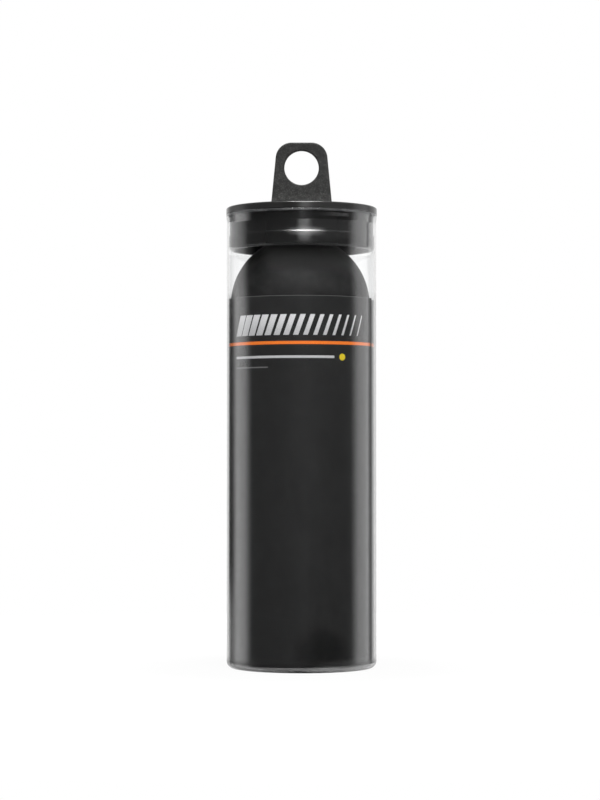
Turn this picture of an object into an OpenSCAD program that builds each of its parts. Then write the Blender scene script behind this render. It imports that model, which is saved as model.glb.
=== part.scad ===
// Clear retail tube of three squash balls, closed by a plug cap with a hang tab.
// Origin: centre of the foot ring, on the surface that the tube stands on.
// +Z runs up the tube and -Y is the front, which the printed side of the label faces.

/* [Balls] */
// Outside diameter of a ball
ball_d = 40; // [37:0.1:43]
// Rubber wall of each half shell
ball_wall = 5; // [3.5:0.1:6.5]
// Adhesive layer between the two half shells
bond_t = 0.1; // [0.06:0.01:0.3]
// Depth of the shallow groove left at the seam
seam_depth = 0.15; // [0.05:0.01:0.4]
// Width of the seam groove at the surface of the ball
seam_w = 0.7; // [0.5:0.05:1.5]
// Gap between one ball and the next, and between the lowest ball and the floor
ball_gap = 0.2; // [0.1:0.05:0.5]
// Radial play between a ball and the wall of the tube
ball_play = 1; // [0.8:0.05:2]
// Least gap between a leaning ball and the label beside it
ball_side_gap = 0.4; // [0.3:0.05:0.6]
// Free height between the top ball and the ceiling of the cap
headroom = 6; // [4:0.1:12]

/* [Tube] */
// Thickness of the clear wall
tube_wall = 0.5; // [0.3:0.05:1.2]
// Thickness of the floor
floor_t = 0.8; // [0.5:0.05:1.5]
// Outside radius of the rounded bottom edge
base_corner_r = 2; // [1:0.1:2.5]
// Inside radius where the wall meets the floor
inner_corner_r = 0.8; // [0.4:0.05:1.5]
// Width of the flat ring that the tube stands on
foot_w = 2; // [1:0.1:3]
// Height that the middle of the floor is pushed up
punt_rise = 2.6; // [1:0.1:5]
// Width of the slope between the foot ring and the raised middle
punt_slope_w = 8.5; // [4:0.1:9]
// Amount that the mouth spreads outwards
lip_flare = 0.25; // [0.05:0.05:0.5]
// Height over which the mouth spreads
lip_h = 3; // [1.5:0.1:5]
// Rounding of the rim at the mouth
lip_r = 0.15; // [0.05:0.01:0.15]

/* [Label] */
// Thickness of the rolled film
film_t = 0.15; // [0.08:0.01:0.3]
// Gap between the film and the wall, and between its overlapped layers
film_gap = 0.05; // [0.03:0.01:0.1]
// Angle from the front to the free edge of the film, towards +X
film_edge_angle = 69.5; // [40:0.5:140]
// Angle that the film runs on under its own free edge
film_overlap_angle = 25; // [10:1:60]
// Angle over which the film steps inwards before the overlap
film_step_angle = 30; // [15:1:60]
// Clear height between the top of the film and the skirt of the cap
window_h = 14.1; // [4:0.1:40]

/* [Cap] */
// Amount that the flange stands out past the wall of the tube
flange_overhang = 0.2; // [0:0.05:0.5]
// Thickness of the flange, which is also the top of the cap
flange_t = 2; // [1.4:0.1:3]
// Rounding of the top edge of the flange
flange_edge_r = 0.5; // [0.2:0.05:0.6]
// Rounding of the lower edge of the flange
flange_lower_r = 0.2; // [0.1:0.05:0.5]
// Height of the upper part of the plug skirt
skirt_h = 6; // [4:0.1:8]
// Height of the wider band at the foot of the skirt
band_h = 4.3; // [2.5:0.1:6]
// Amount that the band stands out from the upper skirt
band_step = 0.3; // [0.15:0.05:0.5]
// Height of the sloping shoulder between the upper skirt and the band
shoulder_h = 0.45; // [0.2:0.05:1]
// Radial running clearance of the band in the tube
plug_clearance = 0.05; // [0.02:0.01:0.1]
// Wall of the upper skirt
skirt_wall = 1.35; // [1:0.05:2]
// Height and depth of the lead-in chamfer at the bottom of the band
lead_in = 0.6; // [0.3:0.05:0.9]

/* [Hang tab] */
// Height of the tab above the flange
tab_h = 19; // [16:0.5:30]
// Width of the tab where it meets the flange
tab_base_w = 17.8; // [16.5:0.1:24]
// Width of the tab at its top, before its corners are rounded
tab_top_w = 14.1; // [13:0.1:16]
// Thickness of the tab
tab_t = 2; // [1.2:0.1:3]
// Radius of the two top corners
tab_corner_r = 4.6; // [2:0.1:5.5]
// Fillet between the tab and the flange
tab_root_r = 0.8; // [0.3:0.1:1.5]
// Rounding of the top edges of the tab
tab_edge_r = 0.3; // [0.1:0.05:0.5]
// Diameter of the hang hole
hole_d = 9.9; // [6:0.1:10.5]
// Distance from the top of the tab down to the centre of the hole
hole_drop = 7.3; // [6.5:0.1:9]

/* [Hidden] */
$fn = 96;
// Extra reach of every cut past the surface that it opens
overrun = 0.5;
// Depth that the tab is rooted into the flange
tab_root_depth = 0.5;
// Straight pieces in a quarter of a rounded edge, and in the slope of the floor
arc_steps = 6;
slope_steps = 14;
// Angle between two points along the rolled film
film_angle_step = 3;

clear_plastic = [0.90, 0.93, 0.95, 0.30];
black_plastic = [0.16, 0.16, 0.16];
label_black = [0.17, 0.17, 0.17];
ball_rubber = [0.13, 0.13, 0.14];
bond_rubber = [0.22, 0.21, 0.20];

// Tube radii and heights, built up from the balls that it holds
ball_r = ball_d / 2;
ball_count = 3;
bore_r = ball_r + ball_play;
tube_r = bore_r + tube_wall;
floor_top = punt_rise + floor_t;
tube_h = floor_top + ball_count * (ball_d + ball_gap) + headroom;
foot_outer_r = tube_r - base_corner_r;
foot_inner_r = foot_outer_r - foot_w;
punt_r = foot_inner_r - punt_slope_w;

// Film radii, and its heights between the floor and the clear window
film_outer_r = bore_r - film_gap;
film_inner_r = film_outer_r - film_t;
overlap_step = film_t + film_gap;
overlap_inner_r = film_inner_r - overlap_step;
film_bottom = floor_t + inner_corner_r;
film_top = tube_h - skirt_h - band_h - window_h;

// The stack leans alternately to the left and to the right
lean_left = film_inner_r - ball_r - ball_side_gap;
lean_right = overlap_inner_r - ball_r - ball_side_gap;
ball_lean = [-lean_left, lean_right, -lean_left];

// Radii of the cap
flange_r = tube_r + flange_overhang;
band_r = bore_r - plug_clearance;
skirt_r = band_r - band_step;
skirt_bore_r = skirt_r - skirt_wall;
plug_h = skirt_h + band_h;

// Points of an arc about [cx, cy], from angle a0 to angle a1
function arc_points(cx, cy, r, a0, a1) = [
    for (i = [0:arc_steps])
        let (a = a0 + (a1 - a0) * i / arc_steps)
        [cx + r * cos(a), cy + r * sin(a)]
];

// Height of the pushed-up floor at radius r: level in the middle, level at the foot
function punt_height(r) = punt_rise * (1 + cos(180 * (r - punt_r) / punt_slope_w)) / 2;

// Points along the slope of the floor, from radius r0 to radius r1, raised by lift
function slope_points(r0, r1, lift) = [
    for (i = [0:slope_steps])
        let (r = r0 + (r1 - r0) * i / slope_steps)
        [r, punt_height(r) + lift]
];

// Outside radius of the film, a degrees of roll from its free edge
function film_r(a) =
    let (ease = (a - 360 + film_step_angle) / film_step_angle,
         part = min(1, max(0, ease)))
    film_outer_r - overlap_step * part * part * (3 - 2 * part);

// Position on the film at roll angle a, in by depth from its outside
function film_point(a, depth) =
    let (azimuth = film_edge_angle - a)
    [(film_r(a) - depth) * sin(azimuth), -(film_r(a) - depth) * cos(azimuth)];

// Height of the centre of ball i, counted from the bottom
function ball_z(i) = floor_top + ball_gap + ball_r + i * (ball_d + ball_gap);

module at_ball(i) {
    translate([ball_lean[i], 0, ball_z(i)]) children();
}

// Thin-walled clear tube with a pushed-up floor, a foot ring and a spread mouth
module tube() {
    color(clear_plastic)
    rotate_extrude()
    polygon(concat(
        [[0, punt_rise]],
        slope_points(punt_r, foot_inner_r, 0),
        arc_points(foot_outer_r, base_corner_r, base_corner_r, -90, 0),
        [[tube_r, tube_h - lip_h]],
        arc_points(tube_r + lip_flare - lip_r, tube_h - lip_r, lip_r, 0, 90),
        arc_points(bore_r + lip_flare + lip_r, tube_h - lip_r, lip_r, 90, 180),
        [[bore_r, tube_h - lip_h]],
        arc_points(bore_r - inner_corner_r, film_bottom, inner_corner_r, 0, -90),
        slope_points(foot_inner_r, punt_r, floor_t),
        [[0, floor_top]]
    ));
}

// Printed film, rolled once round inside the tube and tucked under its own edge
module label() {
    roll = 360 + film_overlap_angle;
    steps = ceil(roll / film_angle_step);
    angles = [for (i = [0:steps]) roll * i / steps];
    color(label_black)
    translate([0, 0, film_bottom])
    linear_extrude(height = film_top - film_bottom)
    polygon(concat(
        [for (i = [0:steps]) film_point(angles[i], 0)],
        [for (i = [steps:-1:0]) film_point(angles[i], film_t)]
    ));
}

// Flange and stepped hollow skirt, turned about the axis, with the mouth of the tube at z = 0
module plug_body() {
    rotate_extrude()
    polygon(concat(
        [[0, 0], [skirt_bore_r, 0], [skirt_bore_r, -plug_h]],
        [[band_r - lead_in, -plug_h], [band_r, -plug_h + lead_in]],
        [[band_r, -skirt_h - shoulder_h], [skirt_r, -skirt_h], [skirt_r, 0]],
        arc_points(flange_r - flange_lower_r, flange_lower_r, flange_lower_r, -90, 0),
        arc_points(flange_r - flange_edge_r, flange_t - flange_edge_r, flange_edge_r, 0, 90),
        [[0, flange_t]]
    ));
}

// Front outline of the tab: sloped sides and two round corners, standing on y = 0
module tab_outline() {
    side_slope = (tab_base_w - tab_top_w) / 2 / tab_h;
    side_angle = atan(side_slope);
    corner_x = tab_top_w / 2 + tab_corner_r * (side_slope - 1 / cos(side_angle));
    corner_y = tab_h - tab_corner_r;
    side_x = corner_x + tab_corner_r * cos(side_angle);
    side_y = corner_y + tab_corner_r * sin(side_angle);
    root_x = tab_base_w / 2 + tab_root_depth * side_slope;
    polygon([
        [-root_x, -tab_root_depth], [root_x, -tab_root_depth],
        [side_x, side_y], [corner_x, corner_y], [corner_x, tab_h],
        [-corner_x, tab_h], [-corner_x, corner_y], [-side_x, side_y],
    ]);
    for (side = [-1, 1]) {
        translate([side * corner_x, corner_y]) circle(r = tab_corner_r);
    }
}

// Side outline of the tab: filleted into the flange below and rounded along the top
module tab_section() {
    half_t = tab_t / 2;
    right_side = concat(
        [[half_t + tab_root_r, -tab_root_depth]],
        arc_points(half_t + tab_root_r, tab_root_r, tab_root_r, 270, 180),
        arc_points(half_t - tab_edge_r, tab_h - tab_edge_r, tab_edge_r, 0, 90)
    );
    last = len(right_side) - 1;
    polygon(concat(
        right_side,
        [for (i = [last:-1:0]) [-right_side[i][0], right_side[i][1]]]
    ));
}

// Upright tab with its hang hole, standing on z = 0
module hang_tab() {
    depth = tab_t + 2 * (tab_root_r + overrun);
    difference() {
        intersection() {
            translate([0, depth / 2, 0])
            rotate([90, 0, 0])
            linear_extrude(height = depth)
            tab_outline();

            translate([-tab_base_w / 2 - overrun, 0, 0])
            rotate([90, 0, 90])
            linear_extrude(height = tab_base_w + 2 * overrun)
            tab_section();
        }
        translate([0, tab_t / 2 + overrun, tab_h - hole_drop])
        rotate([90, 0, 0])
        cylinder(h = tab_t + 2 * overrun, d = hole_d);
    }
}

// Plug cap, moulded in one piece with its hang tab
module cap() {
    color(black_plastic)
    translate([0, 0, tube_h]) {
        plug_body();
        translate([0, 0, flange_t]) hang_tab();
    }
}

// Ring that cuts the shallow seam groove round the equator of a ball
module seam_cutter() {
    far_w = seam_w * (seam_depth + overrun) / seam_depth;
    rotate_extrude()
    polygon([
        [ball_r - seam_depth, 0],
        [ball_r + overrun, -far_w / 2],
        [ball_r + overrun, far_w / 2],
    ]);
}

// Hollow rubber half of a ball: side is 1 for the upper half and -1 for the lower
module half_shell(side) {
    block_w = ball_d + 2 * overrun;
    block_h = ball_r + overrun;
    color(ball_rubber)
    difference() {
        sphere(r = ball_r);
        sphere(r = ball_r - ball_wall);
        seam_cutter();
        translate([-block_w / 2, -block_w / 2, side > 0 ? bond_t / 2 - block_h : -bond_t / 2])
        cube([block_w, block_w, block_h]);
    }
}

// Cured adhesive ring that joins the two halves
module bond_ring() {
    color(bond_rubber)
    translate([0, 0, -bond_t / 2])
    difference() {
        cylinder(h = bond_t, r = ball_r - seam_depth);
        translate([0, 0, -overrun]) cylinder(h = bond_t + 2 * overrun, r = ball_r - ball_wall);
    }
}

module top_ball_upper_shell() { at_ball(2) half_shell(1); }
module top_ball_bond() { at_ball(2) bond_ring(); }
module top_ball_lower_shell() { at_ball(2) half_shell(-1); }
module middle_ball_upper_shell() { at_ball(1) half_shell(1); }
module middle_ball_bond() { at_ball(1) bond_ring(); }
module middle_ball_lower_shell() { at_ball(1) half_shell(-1); }
module bottom_ball_upper_shell() { at_ball(0) half_shell(1); }
module bottom_ball_bond() { at_ball(0) bond_ring(); }
module bottom_ball_lower_shell() { at_ball(0) half_shell(-1); }

tube();
label();
cap();
top_ball_upper_shell();
top_ball_bond();
top_ball_lower_shell();
middle_ball_upper_shell();
middle_ball_bond();
middle_ball_lower_shell();
bottom_ball_upper_shell();
bottom_ball_bond();
bottom_ball_lower_shell();
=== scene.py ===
"""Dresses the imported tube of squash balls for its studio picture.

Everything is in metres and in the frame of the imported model: +Z runs up the tube, and -Y is
the front, which the printed side of the label faces.
"""
import logging
import math
from dataclasses import dataclass
from enum import Enum
from functools import partial, reduce

import bmesh
import bpy
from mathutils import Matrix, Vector


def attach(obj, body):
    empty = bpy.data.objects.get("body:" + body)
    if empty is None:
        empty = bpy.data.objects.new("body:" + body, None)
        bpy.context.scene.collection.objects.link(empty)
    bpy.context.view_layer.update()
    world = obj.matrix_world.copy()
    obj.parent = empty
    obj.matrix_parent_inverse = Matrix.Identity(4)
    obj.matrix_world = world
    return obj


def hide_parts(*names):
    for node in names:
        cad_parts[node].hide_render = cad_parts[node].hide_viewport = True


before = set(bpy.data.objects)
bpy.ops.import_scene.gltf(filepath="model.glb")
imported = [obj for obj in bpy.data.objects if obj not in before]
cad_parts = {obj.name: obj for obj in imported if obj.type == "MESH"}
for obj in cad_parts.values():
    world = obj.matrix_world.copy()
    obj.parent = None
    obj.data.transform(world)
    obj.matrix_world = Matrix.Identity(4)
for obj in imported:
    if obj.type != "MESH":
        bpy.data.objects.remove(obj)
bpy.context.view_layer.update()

log = logging.getLogger("ball_tube")

MM = 0.001
WHOLE_TURN = 2 * math.pi
WELD = 0.0005 * MM
BRACE = 0.06 * MM
LONG_RUN = 4 * BRACE
SHARP_EDGE = math.radians(35)
NOISE_SHIFT = (1.0, 0.7, 0.3)
ROUGH_SPAN = (0.3, 0.7)
BLACK = (0.0, 0.0, 0.0)
WHITE = (1.0, 1.0, 1.0, 1.0)

Point = tuple[float, float]
Spot = tuple[float, float, float]
Colour = tuple[float, float, float]
Ramp = tuple[float, float, float, float]
Socket = bpy.types.NodeSocket
Source = Socket | float | int | str | bool | tuple
Material = bpy.types.Material
Mesh = bpy.types.Mesh
Thing = bpy.types.Object
Inputs = dict[str, float | int | Material]


class NodeBench:
    """Adds nodes to one node tree and joins their sockets."""

    def __init__(self, tree: bpy.types.NodeTree) -> None:
        """Clear the tree, ready for work."""
        self.tree = tree
        tree.nodes.clear()

    def add(self, kind: str, **settings: object) -> bpy.types.Node:
        """Add one node.

        Args:
            kind: the node's type as bpy names it.
            settings: attributes of the node and their values.

        Returns:
            The new node.
        """
        node = self.tree.nodes.new(kind)
        for name, value in settings.items():
            setattr(node, name, value)
        return node

    def feed(self, target: Socket, source: Source) -> None:
        """Join a socket to the target, or set the target to a plain value.

        Args:
            target: the input to feed.
            source: another node's output, or the value itself.
        """
        if isinstance(source, Socket):
            self.tree.links.new(source, target)
        else:
            target.default_value = source

    def fill(self, node: bpy.types.Node, **sources: Source) -> bpy.types.Node:
        """Feed a node's inputs by name, with _ for a space.

        Args:
            node: the node to feed.
            sources: input name and what feeds it.

        Returns:
            The same node.
        """
        for name, source in sources.items():
            self.feed(node.inputs[name.replace("_", " ")], source)
        return node

    def make(self, kind: str, **sources: Source) -> Socket:
        """Add a node, feed its inputs by name, and hand over its first output."""
        return self.fill(self.add(kind), **sources).outputs[0]

    def calc(self, operation: str, *terms: Source) -> Socket:
        """Do one sum.

        Args:
            operation: the Math node's operation.
            terms: its inputs in order.

        Returns:
            The result's socket.
        """
        node = self.add("ShaderNodeMath", operation=operation)
        for socket, term in zip(node.inputs, terms):
            self.feed(socket, term)
        return node.outputs[0]

    def fade(self, value: Source, start: Source, end: Source, low: Source = 0.0, high: Source = 1.0
             ) -> Socket:
        """Ease from low to high while value goes from start to end.

        Args:
            value: what is being read.
            start: value at which the result leaves low.
            end: value at which the result reaches high.
            low: result before start.
            high: result after end.

        Returns:
            The result's socket.
        """
        node = self.add("ShaderNodeMapRange", interpolation_type="SMOOTHSTEP", clamp=True)
        self.fill(node, Value=value, From_Min=start, From_Max=end, To_Min=low, To_Max=high)
        return node.outputs[0]

    def times(self, *factors: Source) -> Socket:
        """The product of the factors."""
        return reduce(partial(self.calc, "MULTIPLY"), factors)

    def plus(self, *terms: Source) -> Socket:
        """The sum of the terms."""
        return reduce(partial(self.calc, "ADD"), terms)

    def reach(self, across: Socket, up: Socket, middle: Point = (0.0, 0.0)) -> Socket:
        """Distance from a middle, in a plane.

        Args:
            across: first coordinate of the place.
            up: second coordinate of the place.
            middle: the same two of the middle.

        Returns:
            The distance's socket.
        """
        offsets = (self.calc("SUBTRACT", across, middle[0]), self.calc("SUBTRACT", up, middle[1]))
        return self.calc("SQRT", self.plus(*(self.times(offset, offset) for offset in offsets)))

    def seen_as_backdrop(self) -> Socket:
        """Tell what the camera sees directly, or straight through clear walls.

        Returns:
            A socket that is 1 for such rays, and else 0.
        """
        path = self.add("ShaderNodeLightPath").outputs
        through = self.times(path["Is Transmission Ray"], self.calc("LESS_THAN", path["Glossy Depth"], 0.5))
        return self.calc("MAXIMUM", path["Is Camera Ray"], through)

    def within(self, value: Socket, low: float, high: float) -> Socket:
        """1 where value lies between low and high, and 0 elsewhere."""
        return self.times(self.calc("GREATER_THAN", value, low), self.calc("LESS_THAN", value, high))

    def split(self, vector: Socket) -> tuple[Socket, ...]:
        """The X, Y and Z of a vector."""
        outputs = self.fill(self.add("ShaderNodeSeparateXYZ"), Vector=vector).outputs
        return tuple(outputs[axis] for axis in "XYZ")

    def blend_colour(self, share: Source, first: Source, second: Source) -> Socket:
        """Go from the first colour to the second by share.

        Args:
            share: 0 for the first colour and 1 for the second.
            first: a colour or a socket.
            second: a colour or a socket.

        Returns:
            The colour's socket.
        """
        node = self.add("ShaderNodeMix", data_type="RGBA", clamp_factor=True)
        colour_inputs = [s for s in node.inputs if s.type == "RGBA"]
        self.feed(node.inputs[0], share)
        for socket, source in zip(colour_inputs, (first, second)):
            self.feed(socket, source if isinstance(source, Socket) else (*source, 1.0))
        return next(s for s in node.outputs if s.type == "RGBA")

    def tag_faces(self, geometry: Socket, name: str, value: Source) -> Socket:
        """Store a yes or no under that name on every face."""
        node = self.add("GeometryNodeStoreNamedAttribute", data_type="BOOLEAN", domain="FACE")
        return self.fill(node, Geometry=geometry, Name=name, Value=value).outputs[0]


@dataclass(frozen=True)
class Grain:
    """Smooth noise over a piece.

    Attributes:
        lumps: lumps to a metre.
        detail: octaves of finer noise.
        drawn: scale along the tube; under 1 draws the lumps out.
        start: where in the noise the piece begins, for a pattern of its own.
        span: noise values between which a pattern goes from none to full.
    """

    lumps: float
    detail: float = 3.0
    drawn: float = 1.0
    start: float = 0.0
    span: Point | None = None


class MaterialBench(NodeBench):
    """A material being mixed, which reads its piece's Object coordinates."""

    def __init__(self, name: str) -> None:
        """Start an empty material.

        Args:
            name: its name.
        """
        self.material = bpy.data.materials.new(name)
        self.material.use_nodes = True
        super().__init__(self.material.node_tree)
        self.place = self.add("ShaderNodeTexCoord").outputs["Object"]

    def noise(self, grain: Grain) -> Socket:
        """Lay a grain's noise over the piece.

        Args:
            grain: the grain.

        Returns:
            A socket of about 0 to 1.
        """
        where = self.make("ShaderNodeMapping", Vector=self.place, Scale=(1, 1, grain.drawn),
                          Location=tuple(grain.start * share for share in NOISE_SHIFT))
        return self.make("ShaderNodeTexNoise", Vector=where, Scale=grain.lumps, Detail=grain.detail)

    def pattern(self, grain: Grain, low: float = 0.0, high: float = 1.0) -> Socket:
        """A grain's noise, as a value that goes from low to high over its span."""
        return self.fade(self.noise(grain), *grain.span, low, high)

    def pips(self, to_a_metre: float) -> Socket:
        """Distance from the middle of the nearest of many scattered pips."""
        node = self.fill(self.add("ShaderNodeTexVoronoi"), Vector=self.place, Scale=to_a_metre)
        return node.outputs["Distance"]

    def around(self) -> tuple[Socket, Socket]:
        """Angle round the tube in radians, 0 at the front and more towards +X, and the height."""
        x, y, z = self.split(self.place)
        return self.calc("ARCTAN2", x, self.times(y, -1.0)), z

    def near(self, spot: Spot) -> Socket:
        """Measure how far off a spot is.

        Args:
            spot: the spot.

        Returns:
            The distance in metres.
        """
        node = self.add("ShaderNodeVectorMath", operation="DISTANCE")
        self.feed(node.inputs[0], self.place)
        self.feed(node.inputs[1], spot)
        return node.outputs["Value"]

    def relief(self, height: Socket, depth: float, strength: float,
               below: Socket | None = None) -> Socket:
        """Turn a height into a bumped normal.

        Args:
            height: 0 to 1.
            depth: metres that a height of 1 stands for.
            strength: share of the effect.
            below: a normal that this one lies on.

        Returns:
            The normal's socket.
        """
        node = self.fill(self.add("ShaderNodeBump"), Height=height, Distance=depth, Strength=strength)
        if below is not None:
            self.feed(node.inputs["Normal"], below)
        return node.outputs[0]

    def blend_shader(self, share: Socket, first: Socket, second: Socket) -> Socket:
        """Go from the first shader to the second by share.

        Args:
            share: 0 for the first shader and 1 for the second.
            first: a shader.
            second: a shader.

        Returns:
            The shader's socket.
        """
        node = self.add("ShaderNodeMixShader")
        for socket, source in zip(node.inputs, (share, first, second)):
            self.feed(socket, source)
        return node.outputs[0]

    def finish(self, shader: Socket) -> Material:
        """Put the shader on the surface and hand over the material."""
        self.feed(self.add("ShaderNodeOutputMaterial").inputs["Surface"], shader)
        return self.material

    def coat(self, **sources: Source) -> Material:
        """Put a Principled shader with those inputs on the surface and hand over the material."""
        return self.finish(self.make("ShaderNodeBsdfPrincipled", **sources))


@dataclass(frozen=True)
class ClearPlastic:
    """Polished clear wall: faint handling marks, drawn out up the tube, and a slight haze."""

    name: str = "clear_plastic"
    tint: Colour = (0.985, 0.988, 0.99)
    ior: float = 1.5
    roughness: Point = (0.012, 0.05)
    marks: Grain = Grain(900, 4, drawn=0.06, span=(0.45, 0.75))
    marks_share: float = 0.35
    scuffs: Grain = Grain(220, 6, start=3, span=(0.62, 0.8))
    ripple: Grain = Grain(60, 1, drawn=0.25, start=8)
    ripple_relief: Point = (0.004 * MM, 0.5)
    base_haze: float = 0.2
    base_haze_z: Point = (1.6 * MM, 4.5 * MM)
    base_grey: Colour = (0.5, 0.5, 0.5)
    base_grey_z: Point = (1.2 * MM, 3.6 * MM)

    def mix(self) -> Material:
        """Mix the plastic, which lets lamps through to what it holds.

        Returns:
            The material.
        """
        bench = MaterialBench(self.name)
        z = bench.split(bench.place)[2]
        handled = bench.calc("MAXIMUM", bench.times(bench.pattern(self.marks), self.marks_share),
                             bench.pattern(self.scuffs))
        roughness = bench.calc("MAXIMUM", bench.fade(handled, 0, 1, *self.roughness),
                               bench.fade(z, *self.base_haze_z, self.base_haze, 0))
        # The wall's colour goes grey towards the bottom of the tube.
        clear = bench.make(
            "ShaderNodeBsdfPrincipled", Roughness=roughness, IOR=self.ior, Transmission_Weight=1.0,
            Base_Color=bench.blend_colour(bench.fade(z, *self.base_grey_z), self.base_grey, self.tint),
            Normal=bench.relief(bench.noise(self.ripple), *self.ripple_relief),
        )
        path = bench.add("ShaderNodeLightPath").outputs
        straight_through = bench.calc("MAXIMUM", path["Is Shadow Ray"], path["Is Diffuse Ray"])
        open_air = bench.make("ShaderNodeBsdfTransparent")
        return bench.finish(bench.blend_shader(straight_through, clear, open_air))


@dataclass(frozen=True)
class GrainedFinish:
    """Finish whose colour, roughness and relief all follow one grain."""

    name: str
    colour: Colour
    paler: Colour
    grain: Grain
    roughness: Point
    relief: Point = (0.01 * MM, 0.4)
    specular: float = 0.5
    clear_share: float = 0.0

    def mix(self) -> Material:
        """Mix the material.

        Returns:
            The material.
        """
        bench = MaterialBench(self.name)
        grain = bench.noise(self.grain)
        share = bench.fade(grain, *self.grain.span) if self.grain.span else grain
        return bench.coat(
            Base_Color=bench.blend_colour(share, self.colour, self.paler),
            Roughness=bench.fade(grain, *ROUGH_SPAN, *self.roughness), Specular_IOR_Level=self.specular,
            Transmission_Weight=self.clear_share, Normal=bench.relief(grain, *self.relief),
        )


@dataclass(frozen=True)
class CutRim(GrainedFinish):
    """Rim at the mouth of the tube, whitened a little where it was cut and melted round; the whitening is
    also a painted highlight, the light line along the rim.
    """

    name: str = "cut_rim"
    colour: Colour = (0.5, 0.51, 0.52)
    paler: Colour = (0.78, 0.79, 0.8)
    grain: Grain = Grain(220, 2, drawn=0.3, span=(0.4, 0.65))
    roughness: Point = (0.14, 0.24)
    relief: Point = (0.01 * MM, 0.5)
    clear_share: float = 0.93


@dataclass(frozen=True)
class PlainFilm(GrainedFinish):
    """Back and cut edges of the label: satin dark film with a faint drawn grain."""

    name: str = "film_back"
    colour: Colour = (0.034, 0.034, 0.035)
    paler: Colour = (0.0459, 0.0459, 0.04725)
    grain: Grain = Grain(1600, drawn=0.1)
    roughness: Point = (0.39, 0.53)


@dataclass(frozen=True)
class FreeEdgeShadow(GrainedFinish):
    """Narrow strip along the free edge of the label, dull and black: a painted shadow along the film's free
    edge.
    """

    name: str = "film_free_edge_shadow"
    colour: Colour = (0.003, 0.003, 0.003)
    paler: Colour = (0.006, 0.006, 0.006)
    grain: Grain = Grain(2200, 4, drawn=0.15)
    roughness: Point = (0.85, 1.0)
    specular: float = 0.05


@dataclass(frozen=True)
class CuredBond(GrainedFinish):
    """Cured rubber solution in the seam: a little browner and glossier than the ball."""

    name: str = "cured_bond"
    colour: Colour = (0.045, 0.04, 0.036)
    paler: Colour = (0.07, 0.062, 0.055)
    grain: Grain = Grain(1100, 4)
    roughness: Point = (0.38, 0.55)
    relief: Point = (0.02 * MM, 0.6)


@dataclass(frozen=True)
class Rule:
    """Plain printed rule, by its middle and width up the film and its ends round it, if it has any."""

    z: float
    width: float
    ends: Point | None = None

    def shape(self, bench: NodeBench, across: Socket, z: Socket) -> Socket:
        """Work out where the rule is.

        Args:
            bench: the material being mixed.
            across: distance round the film from the front.
            z: height.

        Returns:
            A socket that is 1 on the rule.
        """
        strip = bench.within(z, self.z - self.width / 2, self.z + self.width / 2)
        return bench.times(bench.within(across, *self.ends), strip) if self.ends else strip


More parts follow.
